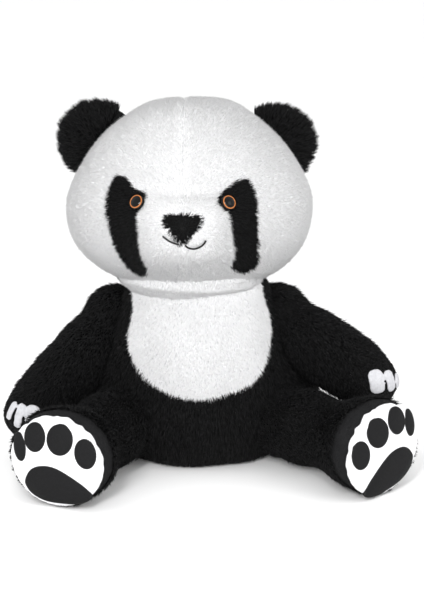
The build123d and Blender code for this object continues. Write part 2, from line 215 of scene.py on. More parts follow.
# ---------------------------------------------------------------- materials
def principled(name, colour, roughness, sheen=0.0, specular=0.5):
    material = bpy.data.materials.new(name)
    material.use_nodes = True
    shader = material.node_tree.nodes["Principled BSDF"]
    shader.inputs["Base Color"].default_value = (*colour, 1)
    shader.inputs["Roughness"].default_value = roughness
    shader.inputs["Sheen Weight"].default_value = sheen
    shader.inputs["Specular IOR Level"].default_value = specular
    return material


def cloth_material(name, dark, light, scale, roughness, sheen, bump, distance):
    """Fabric whose colour wavers a little and whose weave is a fine bump."""
    material = principled(name, dark, roughness, sheen, specular=0.2)
    tree = material.node_tree
    shader = tree.nodes["Principled BSDF"]
    place = tree.nodes.new("ShaderNodeTexCoord")
    noise = tree.nodes.new("ShaderNodeTexNoise")
    noise.inputs["Scale"].default_value = scale
    noise.inputs["Detail"].default_value = 6
    ramp = tree.nodes.new("ShaderNodeValToRGB")
    ramp.color_ramp.elements[0].position = 0.3
    ramp.color_ramp.elements[1].position = 0.7
    ramp.color_ramp.elements[0].color = (*dark, 1)
    ramp.color_ramp.elements[1].color = (*light, 1)
    fine = tree.nodes.new("ShaderNodeTexNoise")
    fine.inputs["Scale"].default_value = scale * 6
    fine.inputs["Detail"].default_value = 3
    relief = tree.nodes.new("ShaderNodeBump")
    relief.inputs["Strength"].default_value = bump
    relief.inputs["Distance"].default_value = distance
    tree.links.new(place.outputs["Object"], noise.inputs["Vector"])
    tree.links.new(place.outputs["Object"], fine.inputs["Vector"])
    tree.links.new(noise.outputs["Fac"], ramp.inputs["Fac"])
    tree.links.new(ramp.outputs["Color"], shader.inputs["Base Color"])
    tree.links.new(fine.outputs["Fac"], relief.inputs["Height"])
    tree.links.new(relief.outputs["Normal"], shader.inputs["Normal"])
    return material


def grey(level, blue=0.0):
    """A neutral colour, a little cooler by an amount of blue."""
    return (level, level, level + blue)


WHITE_BACKING = cloth_material(
    "white_backing", grey(0.52, 0.01), grey(0.64, 0.01),
    scale=260, roughness=0.95, sheen=0.1, bump=0.6, distance=0.001)
BLACK_BACKING = cloth_material(
    "black_backing", grey(0.0015), grey(0.003),
    scale=260, roughness=0.9, sheen=0.0, bump=0.6, distance=0.001)
BLACK_VELOUR = cloth_material(
    "black_velour", grey(0.004, 0.0005), grey(0.007, 0.0005),
    scale=300, roughness=0.85, sheen=0.0, bump=0.5, distance=0.0006)
WHITE_VELOUR = cloth_material(
    "white_velour", grey(0.66, 0.015), grey(0.78, 0.01),
    scale=220, roughness=0.9, sheen=0.1, bump=0.5, distance=0.0006)
PAD_VELOUR = cloth_material(
    "pad_velour", grey(0.0035, 0.0005), grey(0.006, 0.0005),
    scale=420, roughness=0.8, sheen=0.0, bump=0.4, distance=0.0005)
CLAW_FELT = cloth_material(
    "claw_felt", grey(0.42, 0.02), grey(0.52, 0.02),
    scale=300, roughness=0.85, sheen=0.1, bump=0.5, distance=0.0006)
WHITE_FUR = [
    principled("white_fur_a", (0.90, 0.90, 0.905), 0.9, 0.2, specular=0.1),
    principled("white_fur_b", (0.88, 0.88, 0.89), 0.9, 0.2, specular=0.1),
    principled("white_fur_c", (0.91, 0.91, 0.915), 0.9, 0.2, specular=0.1),
]
BLACK_FUR = [
    principled("black_fur_a", (0.0026, 0.0026, 0.0028), 0.6, specular=0.20),
    principled("black_fur_b", (0.0042, 0.0042, 0.0047), 0.55, specular=0.25),
    principled("black_fur_c", (0.0016, 0.0016, 0.0018), 0.65, specular=0.18),
]
VELOUR_PILE = [
    principled("velour_pile_a", (0.008, 0.008, 0.009), 0.7, specular=0.25),
    principled("velour_pile_b", (0.011, 0.011, 0.012), 0.7, specular=0.25),
]
EYE_GLOSS = principled("eye_gloss", (0.0015, 0.0015, 0.0015), 0.07, specular=0.22)
AMBER = principled("amber_ring", (0.36, 0.12, 0.03), 0.3, specular=0.3)
STITCH = cloth_material(
    "satin_stitch", grey(0.004), grey(0.009),
    scale=500, roughness=0.5, sheen=0.0, bump=0.3, distance=0.0004)
THREAD = cloth_material(
    "thread", grey(0.004), grey(0.008),
    scale=900, roughness=0.55, sheen=0.0, bump=0.4, distance=0.0003)


# ---------------------------------------------------------------- fur
def sample(points, faces, per_cm2, rng):
    """Random places on a skin: their points and normals."""
    a, b, c = (points[faces[:, k]] for k in range(3))
    area = np.linalg.norm(np.cross(b - a, c - a), axis=1) / 2
    count = int(area.sum() * 1e4 * per_cm2)
    chosen = np.sort(rng.choice(len(faces), count, p=area / area.sum()))
    u, v = rng.random(count), rng.random(count)
    over = u + v > 1
    u[over], v[over] = 1 - u[over], 1 - v[over]
    w = np.stack([1 - u - v, u, v], axis=1)
    normals = normals_of(points, faces)
    where = sum(points[faces[chosen, k]] * w[:, k : k + 1] for k in range(3))
    normal = unit(sum(normals[faces[chosen, k]] * w[:, k : k + 1] for k in range(3)))
    return where, normal


def clumped(places, tips, size, pull, rng):
    """Draws the tips of neighbouring strands together."""
    count = max(1, int(len(places) * 0.06))
    centres = rng.choice(len(places), count, replace=False)
    tree = KDTree(count)
    for k, i in enumerate(centres):
        tree.insert(places[i], k)
    tree.balance()
    out = tips.copy()
    for i, place in enumerate(places):
        _, k, distance = tree.find(place)
        if distance < size:
            out[i] += (tips[centres[k]] - tips[i]) * pull
    return out


def spikes(name, roots, normals, combs, length, width, lift, materials, rng,
           clump=(0.006, 0.35), straight=False, wander=0.2):
    """Fur as closed, tapered strands. lift is how far they stand up: 1 straight out, 0 flat.

    clump is how near a clump's middle a tip is drawn from, and how strongly.
    """
    count = len(roots)
    if not count:
        return None
    combs = unit(combs - normals * np.sum(combs * normals, axis=1)[:, None])
    jitter = rng.normal(size=(count, 3)) * wander
    lay = unit(combs + jitter - normals * np.sum((combs + jitter) * normals, axis=1)[:, None])
    rise = np.clip(lift + rng.normal(size=count) * 0.12, 0.08, 1.0)[:, None]
    length = (length * rng.uniform(0.75, 1.2, count))[:, None]
    first = unit(normals * (rise + 0.25) + lay * (1 - rise))
    last = unit(normals * rise * 0.6 + lay * (1.2 - rise))
    base = roots - normals * 0.0006
    middle = base + first * length * 0.5
    tips = middle + last * length * 0.5
    tips = clumped(roots, tips, clump[0], clump[1], rng)
    middle = (base + first * length * 0.5) * 0.6 + (base * 0.45 + tips * 0.55) * 0.4
    side = unit(np.cross(first, rng.normal(size=(count, 3))))
    across = unit(np.cross(first, side))
    width = (width * rng.uniform(0.8, 1.25, count))[:, None]
    rings = []
    for centre, share in ((base, 0.5), (middle, 0.38)):
        for k in range(3):
            turn = 2 * math.pi * k / 3
            rings.append(centre + (side * math.cos(turn) + across * math.sin(turn)) * width * share)
    if straight:
        verts = np.stack([*rings[:3], tips], axis=1).reshape(-1, 3)
        pattern = [(0, 2, 1), (0, 1, 3), (1, 2, 3), (2, 0, 3)]
        each = 4
    else:
        verts = np.stack([*rings, tips], axis=1).reshape(-1, 3)
        pattern = [(0, 2, 1), (0, 1, 4, 3), (1, 2, 5, 4), (2, 0, 3, 5), (3, 4, 6), (4, 5, 6), (5, 3, 6)]
        each = 7
    verts[:, 2] = np.maximum(verts[:, 2], ON_FLOOR)
    loops = np.concatenate([np.array(face) for face in pattern])
    sizes = np.array([len(face) for face in pattern])
    offsets = np.arange(count)[:, None] * each
    all_loops = (loops[None, :] + offsets).ravel().astype(np.int32)
    all_sizes = np.tile(sizes, count)
    starts = np.concatenate([[0], np.cumsum(all_sizes)[:-1]]).astype(np.int32)
    mesh = bpy.data.meshes.new(name)
    mesh.vertices.add(len(verts))
    mesh.vertices.foreach_set("co", verts.astype(np.float32).ravel())
    mesh.loops.add(len(all_loops))
    mesh.loops.foreach_set("vertex_index", all_loops)
    mesh.polygons.add(len(all_sizes))
    mesh.polygons.foreach_set("loop_start", starts)
    mesh.update(calc_edges=True)
    for material in materials:
        mesh.materials.append(material)
    picked = np.repeat(rng.integers(0, len(materials), count), len(pattern)).astype(np.int32)
    mesh.polygons.foreach_set("material_index", picked)
    mesh.polygons.foreach_set("use_smooth", np.ones(len(all_sizes), bool))
    mesh.update()
    obj = bpy.data.objects.new(name, mesh)
    bpy.context.scene.collection.objects.link(obj)
    return obj


def skin(name, points, faces, materials, owner_of_face, body, replaced):
    obj = new_mesh(name, points, faces)
    for material in materials:
        obj.data.materials.append(material)
    obj.data.polygons.foreach_set("material_index", owner_of_face.astype(np.int32))
    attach(obj, body)
    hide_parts(*replaced)
    return obj


def fur_piece(obj, body):
    if obj is None:
        return
    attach(obj, body)


def rigid_remesh(name, names, voxel, rounds):
    """A closed, smoothed copy of CAD nodes, as points and triangles."""
    points, triangles, _ = joined(names)
    obj = new_mesh(name, points, triangles)
    modifier = obj.modifiers.new("remesh", "REMESH")
    modifier.mode = "VOXEL"
    modifier.voxel_size = voxel
    evaluated = obj.evaluated_get(bpy.context.evaluated_depsgraph_get())
    mesh = bpy.data.meshes.new_from_object(evaluated)
    mesh.calc_loop_triangles()
    p = np.empty(len(mesh.vertices) * 3)
    mesh.vertices.foreach_get("co", p)
    t = np.empty(len(mesh.loop_triangles) * 3, int)
    mesh.loop_triangles.foreach_get("vertices", t)
    bpy.data.objects.remove(obj)
    p, t = p.reshape(-1, 3), t.reshape(-1, 3)
    return smoothed(p, *neighbours(t, len(p)), rounds), t


CLOTH_FRAMES = 20


def stuffed(name, names, voxel, cap, held):
    """A skin blown up as cloth round its stuffing, and moved by no more than cap.

    held says which places stay where they are, in the joint.
    """
    points, faces = rigid_remesh(name, names, voxel, 3)
    normals = normals_of(points, faces)
    obj = new_mesh(name + "_cloth", points - normals * cap * 0.5, faces)
    group = obj.vertex_groups.new(name="held")
    group.add([int(i) for i in np.nonzero(held(points))[0]], 1.0, "REPLACE")
    cloth = obj.modifiers.new("cloth", "CLOTH")
    cloth.settings.quality = 4
    cloth.settings.mass = 0.15
    cloth.settings.tension_stiffness = 12
    cloth.settings.compression_stiffness = 12
    cloth.settings.bending_stiffness = 0.4
    cloth.settings.use_pressure = True
    cloth.settings.uniform_pressure_force = 4
    cloth.settings.vertex_group_mass = "held"
    cloth.settings.effector_weights.gravity = 0
    cloth.point_cache.frame_start = 1
    cloth.point_cache.frame_end = CLOTH_FRAMES
    for frame_number in range(1, CLOTH_FRAMES + 1):
        bpy.context.scene.frame_set(frame_number)
    evaluated = obj.evaluated_get(bpy.context.evaluated_depsgraph_get())
    blown = np.empty(len(points) * 3)
    evaluated.data.vertices.foreach_get("co", blown)
    step = blown.reshape(-1, 3) - points
    far = np.linalg.norm(step, axis=1)
    step *= np.minimum(1, cap / np.maximum(far, 1e-9))[:, None]
    bpy.context.scene.frame_set(1)
    obj.modifiers.clear()
    points = points + step
    obj.data.vertices.foreach_set("co", points.ravel())
    finer = obj.modifiers.new("finer", "SUBSURF")
    finer.levels = 1
    evaluated = obj.evaluated_get(bpy.context.evaluated_depsgraph_get())
    mesh = bpy.data.meshes.new_from_object(evaluated)
    mesh.calc_loop_triangles()
    fine = np.empty(len(mesh.vertices) * 3)
    mesh.vertices.foreach_get("co", fine)
    triangles = np.empty(len(mesh.loop_triangles) * 3, int)
    mesh.loop_triangles.foreach_get("vertices", triangles)
    bpy.data.objects.remove(obj)
    bpy.data.meshes.remove(mesh)
    fine, triangles = fine.reshape(-1, 3), triangles.reshape(-1, 3)
    return smoothed(fine, *neighbours(triangles, len(fine)), 2), triangles


# ---------------------------------------------------------------- soles
SOLE_HALF = (0.0565, 0.0512)  # half its width and half its height
SOLE_AT = 0.158  # how far along the leg the sole begins to be held flat
FOOT_ROLL = {"right": 0.0, "left": 17.0}  # degrees
PAD_LIFT = 0.0014
# for each toe pad: its middle and half its width and height in mm, and its lean in degrees
TOES = [(-43.5, 12, 7.2, 15.6, 7), (-24, 25.5, 12.6, 16.2, -8),
        (7, 26.5, 15, 17, -14), (37.5, 14, 11.8, 16.2, 6)]
# in mm from the sole's middle
HEEL = [(-36, -25), (-30, -14), (-20, -8), (-6, -6), (8, -9), (26, -18), (38, -26),
        (44, -33), (40, -39), (28, -44), (15, -46), (-10, -46), (-27, -40), (-35, -32)]


def sole_height(flat):
    """How far the stuffed sole stands out at places on it."""
    x, y = flat[:, 0], flat[:, 1]
    edge = np.clip((x / SOLE_HALF[0]) ** 2 + (y / SOLE_HALF[1]) ** 2, 0, 1.2)
    return 0.0045 * (1 - edge**1.5) + 0.0006 * np.sin(x * 90 + 1.0) * np.cos(y * 75)


def disc(name, outline, top, rings, place, material, thickness=0.0025):
    """A closed soft patch in rings from its middle to its outline. top gives each place's height."""
    count = len(outline)
    middle = outline.mean(axis=0)
    shares = np.concatenate([np.linspace(0.06, 0.86, rings - 4), [0.92, 0.965, 0.99, 1.0]])
    flat = [middle + (outline - middle) * share for share in shares]
    heights = [top(ring, share) for ring, share in zip(flat, shares)]
    verts = [place(np.array([middle]), top(np.array([middle]), 0.0))]
    for ring, height in zip(flat, heights):
        verts.append(place(ring, height))
    verts.append(place(flat[-1], heights[-1] - thickness))
    verts.append(place(np.array([middle]), top(np.array([middle]), 0.0) - thickness * 1.6))
    verts = np.concatenate(verts)
    verts[:, 2] = np.maximum(verts[:, 2], ON_FLOOR)
    faces = []
    for k in range(count):
        n = (k + 1) % count
        faces.append((0, 1 + k, 1 + n))
        for r in range(len(shares)):
            a, b = 1 + r * count, 1 + (r + 1) * count
            faces.append((a + k, b + k, b + n, a + n))
        faces.append((len(verts) - 1, 1 + len(shares) * count + n, 1 + len(shares) * count + k))
    obj = new_mesh(name, verts, faces)
    obj.data.materials.append(material)
    return obj


def stitched_ring(name, outline, height, place, stitches):
    """A raised satin-stitch edge: a cord along an outline, ridged by its threads."""
    count, around, radius = len(outline), 8, 0.0009
    ahead = unit(np.roll(outline, -1, axis=0) - np.roll(outline, 1, axis=0))
    side = np.stack([ahead[:, 1], -ahead[:, 0]], axis=1)
    ridge = 1 + 0.12 * np.sin(np.arange(count) * 2 * math.pi * stitches / count)
    verts = []
    for k in range(around):
        turn = 2 * math.pi * k / around
        ring = outline + side * (math.cos(turn) * radius * ridge)[:, None]
        verts.append(place(ring, height + math.sin(turn) * radius * 0.8 * ridge))
    verts = np.concatenate(verts)
    faces = []
    for k in range(around):
        m = (k + 1) % around
        for i in range(count):
            n = (i + 1) % count
            faces.append((k * count + i, k * count + n, m * count + n, m * count + i))
    obj = new_mesh(name, verts, faces)
    obj.data.materials.append(STITCH)
    return obj


def even_outline(points, count):
    """Evenly spaced points along a closed smooth line through a few."""
    n = len(points)
    dense = []
    for i in range(n):
        p0, p1, p2, p3 = (points[(i + k - 1) % n] for k in range(4))
        for t in np.linspace(0, 1, 24, endpoint=False):
            dense.append(0.5 * (2 * p1 + (p2 - p0) * t + (2 * p0 - 5 * p1 + 4 * p2 - p3) * t**2
                                + (3 * p1 - p0 - 3 * p2 + p3) * t**3))
    dense = np.array(dense)
    step = np.linalg.norm(np.roll(dense, -1, axis=0) - dense, axis=1)
    length = np.concatenate([[0], np.cumsum(step)])
    want = np.linspace(0, length[-1], count, endpoint=False)
    closed = np.vstack([dense, dense[:1]])
    return np.stack([np.interp(want, length, closed[:, k]) for k in range(2)], axis=1)


def build_sole(side, body, hip, axis, across, up):
    """The white paw patch with gathers along its top, and the padded toes and heel with stitched edges."""
    middle = hip + axis * ((middle_of(f"foot_{side}_paw_patch") - hip) @ axis)
    turn = math.radians(FOOT_ROLL[side])
    x_dir = across * math.cos(turn) + up * math.sin(turn)
    y_dir = -across * math.sin(turn) + up * math.cos(turn)
    mirror = -1 if side == "left" else 1

    def place(flat, height):
        flat = np.asarray(flat) * np.array([mirror, 1])
        out = np.broadcast_to(height, len(flat))[:, None] * axis
        return middle + flat[:, :1] * x_dir + flat[:, 1:] * y_dir + out

    angle = np.linspace(0, 2 * math.pi, 360, endpoint=False)
    gather = np.clip(np.sin(angle) * 1.6, 0, 1)
    scallop = 1 - gather * 0.032 * (1 - np.abs(np.sin(angle * 5.5 + 0.4)))
    scallop -= 0.008 * gather * np.sin(angle * 23)
    white = np.stack([SOLE_HALF[0] * np.cos(angle), SOLE_HALF[1] * np.sin(angle)], axis=1) * scallop[:, None]

    def white_top(flat, share):
        around = np.arctan2(flat[:, 1], flat[:, 0])
        top_half = np.clip(np.sin(around) * 1.6, 0, 1)
        fold = top_half * np.sin(around * 17 + 0.8) * 0.0011 * max(0.0, share - 0.55) / 0.45
        side_fold = np.sin(around * 31) * 0.0004 * max(0.0, share - 0.8) / 0.2
        drop = 0.0022 * max(0.0, (share - 0.9) / 0.1) ** 2
        return sole_height(flat) + 0.0012 + fold + side_fold - drop

    patch = disc(f"paw_{side}_white", white, white_top, 22, place, WHITE_VELOUR)
    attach(patch, body)
    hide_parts(f"foot_{side}_paw_patch")
    shapes = []
    for x, y, half_width, half_height, lean in TOES:
        lean = math.radians(lean)
        a = angle[::2]
        oval = np.stack([half_width * np.cos(a), half_height * np.sin(a)], axis=1) * MM
        spin = np.array([[math.cos(lean), math.sin(lean)], [-math.sin(lean), math.cos(lean)]])
        shapes.append(oval @ spin + np.array([x, y]) * MM)
    shapes.append(even_outline(np.array(HEEL) * MM, 260))
    for k, outline in enumerate(shapes):
        is_toe = k < len(TOES)
        name = f"paw_{side}_toe_{k + 1}" if is_toe else f"paw_{side}_heel"
        swell = 0.0022 if is_toe else 0.003
        stitches = 90 if is_toe else 130

        def pad_top(flat, share, swell=swell):
            return sole_height(flat) + PAD_LIFT + swell * max(0.0, 1 - share**3) ** 0.6

        pad = disc(name, outline, pad_top, 12, place, PAD_VELOUR)
        edge_height = sole_height(outline) + PAD_LIFT
        ring = stitched_ring(name + "_stitch", outline, edge_height, place, stitches)
        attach(pad, body)
        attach(ring, body)
    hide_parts(f"foot_{side}_toe_pads")
    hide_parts(f"foot_{side}_heel_pad")


def surface_centroid(name):
    points, triangles = mesh_arrays(NODES[name])
    a, b, c = (points[triangles[:, k]] for k in range(3))
    area = np.linalg.norm(np.cross(b - a, c - a), axis=1)
    return ((a + b + c) / 3 * area[:, None]).sum(0) / area.sum()


def middle_of(node):
    low, high = (np.array(corner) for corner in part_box(node))
    return (low + high) / 2


LIGHT_PART = 48000  # strands in one piece of straight pile, at most
HEAVY_PART = 19500  # and of bent pile, which has more faces


def in_parts(name, count, most, always_numbered=False):
    """A large pile in pieces: each piece's name, and the slice of the strands that it takes."""
    parts = max(1, int(np.ceil(count / most)))
    for part in range(parts):
        numbered = always_numbered or parts > 1
        yield (f"{name}_{part + 1}" if numbered else name), slice(part, None, parts)


# ================================================================ head
NECK = np.array(JOINTS["neck"]["pos_m"])
BLACK_PANELS = ["nose", "eye_patch_left", "eye_patch_right"]
head_panels = ["face_left_panel", "face_right_panel", "head_back_left_panel", "head_back_right_panel",
               "muzzle_panel"] + BLACK_PANELS
head_centre = middle_of("head_stuffing") + np.array([0, 0.012, 0])
CHIN_Z = float(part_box("head_stuffing")[0][2])


def in_head_hollow(points):
    found = np.linalg.norm(points - NECK, axis=1) < 0.066
    found |= points[:, 2] < CHIN_Z + 0.004
    for side in ("left", "right"):
        joint = JOINTS[f"ear_{side}"]
        offset = points - np.array(joint["pos_m"])
        along = offset @ unit(joint["axis"])
        away = np.linalg.norm(offset - along[:, None] * unit(joint["axis"]), axis=1)
        found |= (away < 0.0215) & (np.abs(along) < 0.057)
    return found


wrapped = [n for n in BODIES["head"] if n in head_panels or n == "head_stuffing"]
points, faces, edges, degree = wrap(head_centre, wrapped, in_head_hollow)
FACE_X = float(middle_of("nose")[0])
EYES = [middle_of(f"eye_{side}") for side in ("left", "right")]
BRIDGE_Z = float(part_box("muzzle_panel")[1][2])
CROWN_Y = float(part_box("head_back_left_panel")[0][1])
points = smoothed(points, edges, degree, 4)
normals = normals_of(points, faces)
front = points[:, 1] < CROWN_Y
offset = np.zeros(len(points))
offset += lumps(points, 0.09, 3) * 0.0012
middle_seam = bell(points[:, 0] - FACE_X, 0.003) * ((points[:, 2] > BRIDGE_Z) | ~front)
offset -= middle_seam * 0.0016
offset -= bell(points[:, 1] - CROWN_Y, 0.003) * 0.0014
bridge = bell(points[:, 2] - BRIDGE_Z, 0.005) * front * (np.abs(points[:, 0] - FACE_X) < 0.045)
offset -= bridge * 0.0025
for eye in EYES:
    offset -= bell(np.linalg.norm((points - eye)[:, [0, 2]], axis=1), 0.013) * front * 0.0022
points = points + normals * offset[:, None]
panels = Panels(head_panels)
owner = panels.at(points[faces].mean(axis=1))
dark = np.isin(owner, [head_panels.index(node) for node in BLACK_PANELS]).astype(int)
skin("head_skin", points, faces, [WHITE_BACKING, BLACK_BACKING], dark, "head",
     head_panels + ["head_stuffing"])

rng = np.random.default_rng(11)
nose_centre = np.array([FACE_X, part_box("nose")[0][1], middle_of("nose")[2]])
where, normal = sample(points, faces, 165, rng)
clear = np.linalg.norm(where - NECK, axis=1) > 0.060
for eye in EYES:
    clear &= ~((np.linalg.norm((where - eye)[:, [0, 2]], axis=1) < 0.0085) & (where[:, 1] < 0))
# the forehead's middle seam stays open between the two sides of the pile
clear &= ~((np.abs(where[:, 0] - FACE_X) < 0.0008) & (where[:, 2] > BRIDGE_Z + 0.008) & (where[:, 1] < 0.05))
where, normal = where[clear], normal[clear]
owner = panels.at(where)


def head_comb(places):
    """Pile lies away from the nose, down the cheeks, and out from the seam of the forehead."""
    away = places - nose_centre
    comb = unit(away) * 0.9 + np.array([0, 0, -0.45])
    comb[:, 0] += np.clip((places[:, 0] - FACE_X) / 0.004, -1, 1) * 0.3 * bell(places[:, 0] - FACE_X, 0.012)
    behind = places[:, 1] > CROWN_Y
    comb[behind] = np.array([0, 0.1, -1.0])
    return comb


for k, node in enumerate(head_panels):
    mine = owner == k
    if not mine.any():
        continue
    black = node in BLACK_PANELS
    roots, up = where[mine], normal[mine]
    if node == "nose":
        length, width, lift = 0.0058, 0.0009, 0.36
    elif black:
        length, width, lift = 0.0078, 0.0009, 0.38
    else:
        length, width, lift = 0.0072, 0.00085, 0.38
    reach = np.full(len(roots), length)
    if not black:
        near_nose = bell(np.linalg.norm(roots - nose_centre, axis=1), 0.035)
        reach *= 1 - 0.25 * near_nose
    for name, pick in in_parts(f"fur_{node}", len(roots), LIGHT_PART):
        tuft = spikes(name, roots[pick], up[pick], head_comb(roots[pick]), reach[pick], width, lift,
                      BLACK_FUR if black else WHITE_FUR, rng, straight=True,
                      clump=(0.006, 0.3) if black else (0.005, 0.12), wander=0.3)
        fur_piece(tuft, "head")

# ================================================================ torso
torso_panels = ["belly_bib", "torso_left_panel", "torso_right_panel", "seat_panel"]
LIMBS = ["arm_left", "arm_right", "leg_left", "leg_right"]
DOWNWARD = np.array([0.0, -0.1, -1.0])


def in_torso_hollow(points):
    found = np.linalg.norm(points - NECK, axis=1) < 0.064
    for limb in LIMBS:
        away = np.linalg.norm(points - np.array(JOINTS[limb]["pos_m"]), axis=1)
        found |= away < (0.046 if limb.startswith("arm") else 0.052)
    return found


points, faces, edges, degree = wrap(middle_of("torso_stuffing"), BODIES["torso"], in_torso_hollow)
points = smoothed(points, edges, degree, 6)
normals = normals_of(points, faces)
offset = lumps(points, 0.08, 5) * 0.0014
# the chest is full under the chin, and the hips are full beside the legs
offset += 0.007 * bell(points[:, 2] - 0.197, 0.022) * np.clip(-points[:, 1] / 0.05, 0, 1)
offset += 0.012 * bell(points[:, 2] - 0.068, 0.030) * np.clip((np.abs(points[:, 0]) - 0.08) / 0.04, 0, 1)
points = points + normals * offset[:, None]
# the shoulders rise into the neck, under the head
rise = np.clip((points[:, 2] - 0.185) / 0.02, 0, 1)
around = np.linalg.norm(points[:, :2] - NECK[:2], axis=1)
points[:, 2] += rise * 0.024 * np.clip(1.15 - around / 0.085, 0, 1) ** 0.5
points[:, 2] = np.maximum(points[:, 2], 0.0004)
panels = Panels(torso_panels)
owner = panels.at(points[faces].mean(axis=1))
dark = (owner != torso_panels.index("belly_bib")).astype(int)
skin("torso_skin", points, faces, [WHITE_BACKING, BLACK_BACKING], dark, "torso",
     BODIES["torso"])
where, normal = sample(points, faces, 140, rng)
keep = where[:, 2] > 0.004
for limb in LIMBS:
    keep &= np.linalg.norm(where - np.array(JOINTS[limb]["pos_m"]), axis=1) > 0.036
keep &= ~((where[:, 2] > 0.205) & (np.linalg.norm(where[:, :2] - NECK[:2], axis=1) < 0.05))
where, normal = where[keep], normal[keep]
owner = panels.at(where)
# the seat's panel is out of sight under the toy and has no pile
for k, node in enumerate(torso_panels[:3]):
    mine = owner == k
    white = node == "belly_bib"
    if not white:
        mine &= rng.random(len(mine)) < 0.42
    roots, up = where[mine], normal[mine]
    comb = np.tile(DOWNWARD, (len(roots), 1))
    reach = np.full(len(roots), 0.0080 if white else 0.0110)
    for name, pick in in_parts(f"fur_{node}", len(roots), LIGHT_PART if white else HEAVY_PART):
        tuft = spikes(name, roots[pick], up[pick], comb[pick], reach[pick], 0.0009 if white else 0.0011,
                      0.36, WHITE_FUR if white else BLACK_FUR, rng, straight=white,
                      clump=(0.005, 0.15) if white else (0.006, 0.2), wander=0.28 if white else 0.16)
        fur_piece(tuft, "torso")

# ================================================================ neck
COLLAR = np.array([0.088, 0.084, 0.031])  # half its width, depth and height
COLLAR_MIDDLE = NECK + np.array([-0.004, -0.006, -0.005])
COLLAR_POWER = 2.1  # 2 is an ellipsoid, and more is squarer
NECK_BALL = 0.0585
NECK_FRONT = math.radians(72)  # how far round from the front the white pile goes
directions, faces = icosphere(SKIN_LEVEL)
edges, degree = neighbours(faces, len(directions))
collar_radius = 1 / (np.abs(directions / COLLAR) ** COLLAR_POWER).sum(axis=1) ** (1 / COLLAR_POWER)
collar_points = COLLAR_MIDDLE + directions * collar_radius[:, None]
collar_tree = BVHTree.FromPolygons(collar_points.tolist(), faces.tolist())
outer = FAR - cast(collar_tree, NECK + directions * FAR, -directions)
radius = np.maximum(np.nan_to_num(outer, nan=0.0), NECK_BALL)
radius = smoothed(radius, edges, degree, 6)
points = NECK + directions * radius[:, None]
wrinkle = np.sin((points[:, 2] - 0.2) * 520 + points[:, 0] * 22) * bell(points[:, 1] + 0.09, 0.04)
points = points + normals_of(points, faces) * (wrinkle * 0.0009)[:, None]


def turn_round_neck(places):
    """The angle round the neck from its front, either way."""
    return np.abs(np.arctan2(places[:, 0] - NECK[0], -(places[:, 1] - NECK[1])))


dark = (turn_round_neck(points[faces].mean(axis=1)) > NECK_FRONT).astype(int)
skin("neck_skin", points, faces, [WHITE_BACKING, BLACK_BACKING], dark, "neck",
     ["neck_stuffing"])
where, normal = sample(points, faces, 150, rng)
keep = (np.linalg.norm(where - NECK, axis=1) > 0.064) & (where[:, 2] > 0.184) & (where[:, 2] < 0.244)
where, normal = where[keep], normal[keep]
turn = turn_round_neck(where)
for label, mine in (("front", turn < NECK_FRONT), ("back", turn >= NECK_FRONT)):
    white = label == "front"
    roots, up = where[mine], normal[mine]
    tuft = spikes(f"fur_neck_{label}", roots, up, np.tile(DOWNWARD, (len(roots), 1)),
                  np.full(len(roots), 0.007), 0.0009, 0.36, WHITE_FUR if white else BLACK_FUR, rng,
                  straight=True, clump=(0.005, 0.15), wander=0.28)
    fur_piece(tuft, "neck")

# ================================================================ arms, legs and ears
LIMB_VOXEL, LIMB_CAP = 0.006, 0.005
EAR_VOXEL, EAR_CAP = 0.004, 0.004
CLAW_VOXEL = 0.0012
SOLE_COVER = 2  # its place in a leg's list of covers


def furred(name, body, where, normal, comb, reach, width, lift, **looks):
    """Black pile over a limb or an ear, in numbered pieces."""
    for part, pick in in_parts(name, len(where), HEAVY_PART, always_numbered=True):
        tuft = spikes(part, where[pick], normal[pick], comb[pick], reach[pick], width, lift,
                      BLACK_FUR, rng, **looks)
        fur_piece(tuft, body)


